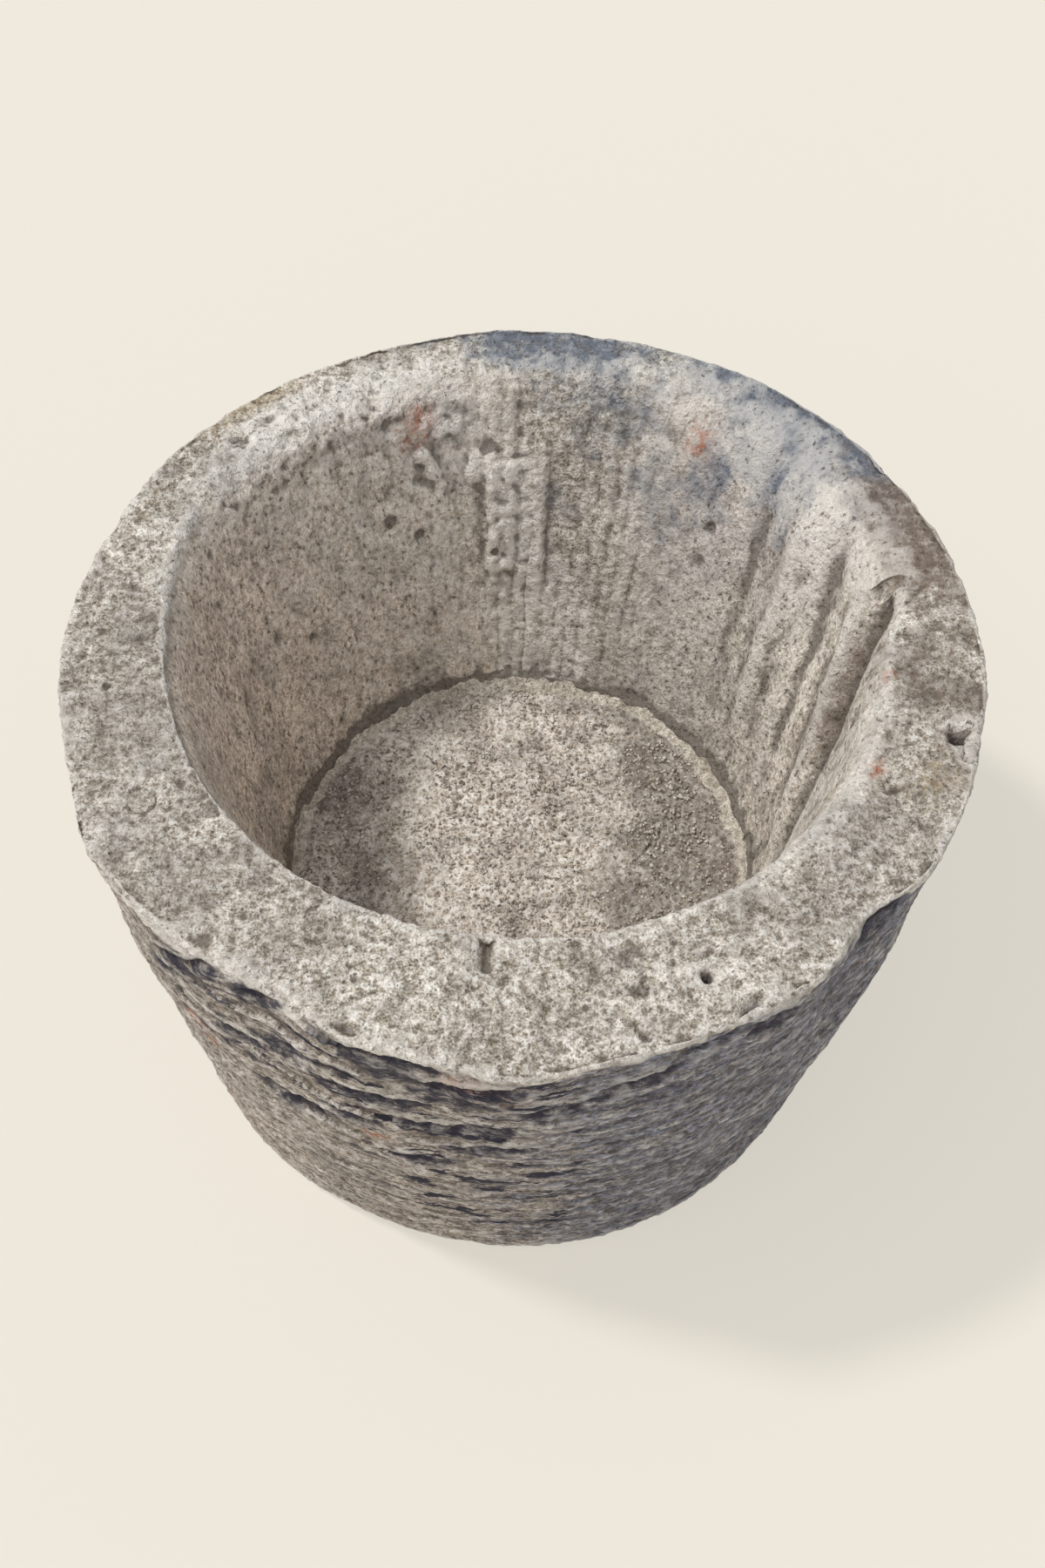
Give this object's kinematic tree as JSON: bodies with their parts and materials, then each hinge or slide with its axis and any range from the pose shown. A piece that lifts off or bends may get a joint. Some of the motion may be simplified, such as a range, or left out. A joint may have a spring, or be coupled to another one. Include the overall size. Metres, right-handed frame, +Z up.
{
  "type": "stone planter",
  "caption": "Round tapering planter carved from a solid limestone block, with a thick uneven rim, an off-centre hollow worn into folds on one side and a grit bed on its floor.",
  "frame": {"origin": "centre of the base face, on the ground the planter stands on", "axes": "+Z up, square to the base; the front with the thickest rim faces -Y, and the worn folds of the hollow are on the +X side"},
  "size_m": [0.7555, 0.7639, 0.475],
  "materials": {
    "limestone": "pecked and weathered, matt, with chisel marks, pits and stains",
    "lime_grit": "coarse set grit, matt, dirt-stained",
    "lime_mortar": "pale lime mortar, matt, ragged edge",
    "plug_mortar": "fine mortar, matt, with a shrinkage crack round it"
  },
  "bodies": {
    "root": {"stone_block": "limestone", "floor_bed": "lime_grit", "edge_fillet": "lime_mortar", "rim_plug": "plug_mortar"}
  },
  "joints": []
}
